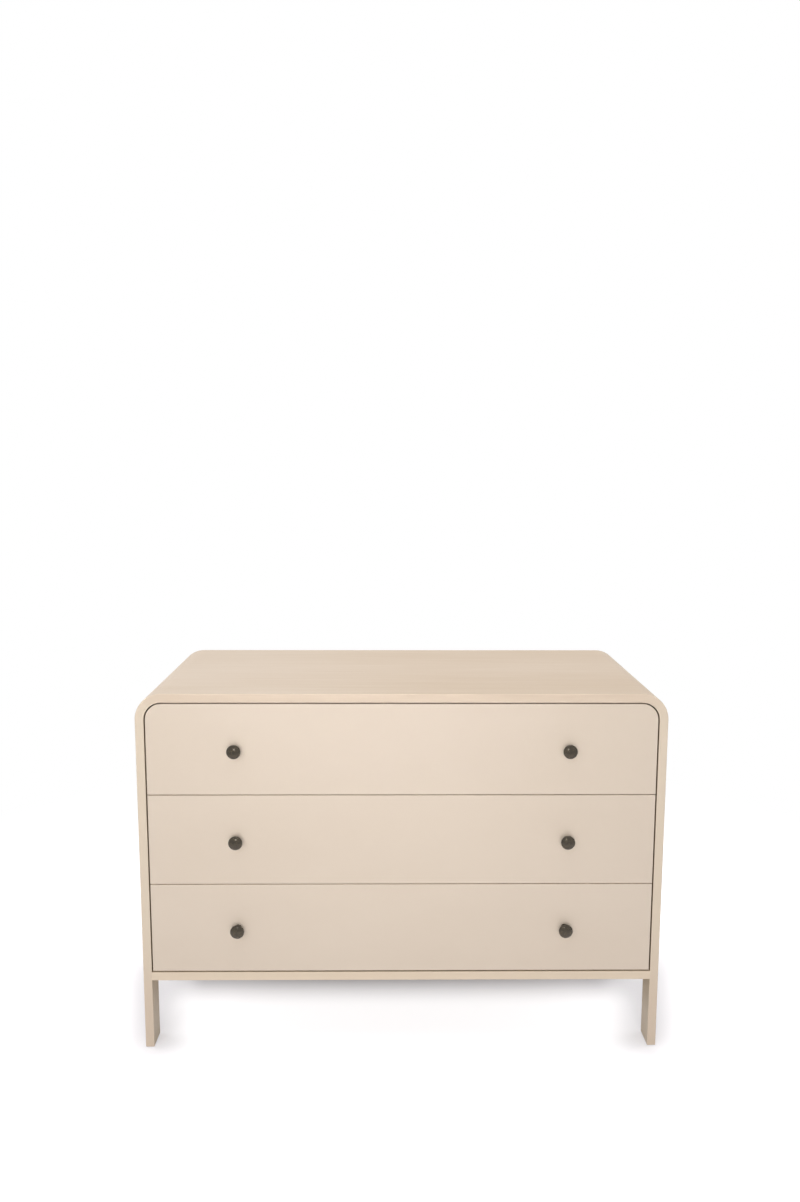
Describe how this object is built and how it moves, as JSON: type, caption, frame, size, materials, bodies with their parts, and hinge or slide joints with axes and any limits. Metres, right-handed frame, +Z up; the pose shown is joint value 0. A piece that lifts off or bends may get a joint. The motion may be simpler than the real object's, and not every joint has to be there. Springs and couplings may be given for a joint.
{
  "type": "dresser",
  "caption": "Low wide dresser with inset drawers on ball-bearing runners, rounded upper corners, panel legs and small round knobs.",
  "frame": {"origin": "on the floor, under the centre of the box that holds the case and its knobs", "axes": "+X to the right for someone who faces the drawers, +Y to the back panel, +Z up"},
  "size_m": [1.2, 0.525, 0.85],
  "materials": {
    "case_veneer": "pale beige stained oak veneer, matt lacquer",
    "front_lacquer": "plain beige satin lacquer on board",
    "knob_bronze": "turned, dark bronze patina",
    "drawer_ply": "birch plywood, clear lacquer",
    "back_ply": "thin plywood, plain",
    "inner_rail": "edged board, beige",
    "zinc_steel": "rolled strip, bright zinc plate",
    "zinc_screw": "bright zinc plate",
    "glide_nylon": "moulded brown nylon",
    "beech_dowel": "fluted beech, left bare"
  },
  "bodies": {
    "cabinet": {"top_panel": "case_veneer", "corner_bend_left": "case_veneer", "corner_bend_right": "case_veneer", "side_panel_left": "case_veneer", "side_panel_right": "case_veneer", "bottom_panel": "case_veneer", "back_panel": "back_ply", "rear_rail": "inner_rail", "divider_rail_upper": "inner_rail", "divider_rail_lower": "inner_rail", "cabinet_runner_screws": "zinc_screw", "back_panel_screws": "zinc_screw", "foot_glides": "glide_nylon", "panel_dowels": "beech_dowel", "runner_lower_left_outer": "zinc_steel", "runner_lower_right_outer": "zinc_steel", "runner_centre_left_outer": "zinc_steel", "runner_centre_right_outer": "zinc_steel", "runner_upper_left_outer": "zinc_steel", "runner_upper_right_outer": "zinc_steel"},
    "drawer_lower": {"drawer_lower_front": "front_lacquer", "drawer_lower_side_left": "drawer_ply", "drawer_lower_side_right": "drawer_ply", "drawer_lower_back": "drawer_ply", "drawer_lower_bottom": "back_ply", "drawer_lower_knob_left": "knob_bronze", "drawer_lower_knob_right": "knob_bronze", "drawer_lower_knob_screws": "zinc_screw", "drawer_lower_runner_screws": "zinc_screw", "runner_lower_left_inner": "zinc_steel", "runner_lower_right_inner": "zinc_steel"},
    "middle_members_lower": {"runner_lower_left_middle": "zinc_steel", "runner_lower_right_middle": "zinc_steel"},
    "drawer_centre": {"drawer_centre_front": "front_lacquer", "drawer_centre_side_left": "drawer_ply", "drawer_centre_side_right": "drawer_ply", "drawer_centre_back": "drawer_ply", "drawer_centre_bottom": "back_ply", "drawer_centre_knob_left": "knob_bronze", "drawer_centre_knob_right": "knob_bronze", "drawer_centre_knob_screws": "zinc_screw", "drawer_centre_runner_screws": "zinc_screw", "runner_centre_left_inner": "zinc_steel", "runner_centre_right_inner": "zinc_steel"},
    "middle_members_centre": {"runner_centre_left_middle": "zinc_steel", "runner_centre_right_middle": "zinc_steel"},
    "drawer_upper": {"drawer_upper_front": "front_lacquer", "drawer_upper_side_left": "drawer_ply", "drawer_upper_side_right": "drawer_ply", "drawer_upper_back": "drawer_ply", "drawer_upper_bottom": "back_ply", "drawer_upper_knob_left": "knob_bronze", "drawer_upper_knob_right": "knob_bronze", "drawer_upper_knob_screws": "zinc_screw", "drawer_upper_runner_screws": "zinc_screw", "runner_upper_left_inner": "zinc_steel", "runner_upper_right_inner": "zinc_steel"},
    "middle_members_upper": {"runner_upper_left_middle": "zinc_steel", "runner_upper_right_middle": "zinc_steel"}
  },
  "joints": [
    {"name": "drawer_lower_slide", "type": "slide", "parent": "cabinet", "child": "drawer_lower", "axis": [0, -1, 0], "range_m": [0, 0.45]},
    {"name": "drawer_centre_slide", "type": "slide", "parent": "cabinet", "child": "drawer_centre", "axis": [0, -1, 0], "range_m": [0, 0.45]},
    {"name": "drawer_upper_slide", "type": "slide", "parent": "cabinet", "child": "drawer_upper", "axis": [0, -1, 0], "range_m": [0, 0.45]},
    {"name": "middle_members_lower_slide", "type": "slide", "parent": "cabinet", "child": "middle_members_lower", "axis": [0, -1, 0], "range_m": [0, 0.225]},
    {"name": "middle_members_centre_slide", "type": "slide", "parent": "cabinet", "child": "middle_members_centre", "axis": [0, -1, 0], "range_m": [0, 0.225]},
    {"name": "middle_members_upper_slide", "type": "slide", "parent": "cabinet", "child": "middle_members_upper", "axis": [0, -1, 0], "range_m": [0, 0.225]}
  ],
  "couplings": [
    {"joint": "middle_members_lower_slide", "follows": "drawer_lower_slide", "ratio": 0.5},
    {"joint": "middle_members_centre_slide", "follows": "drawer_centre_slide", "ratio": 0.5},
    {"joint": "middle_members_upper_slide", "follows": "drawer_upper_slide", "ratio": 0.5}
  ]
}
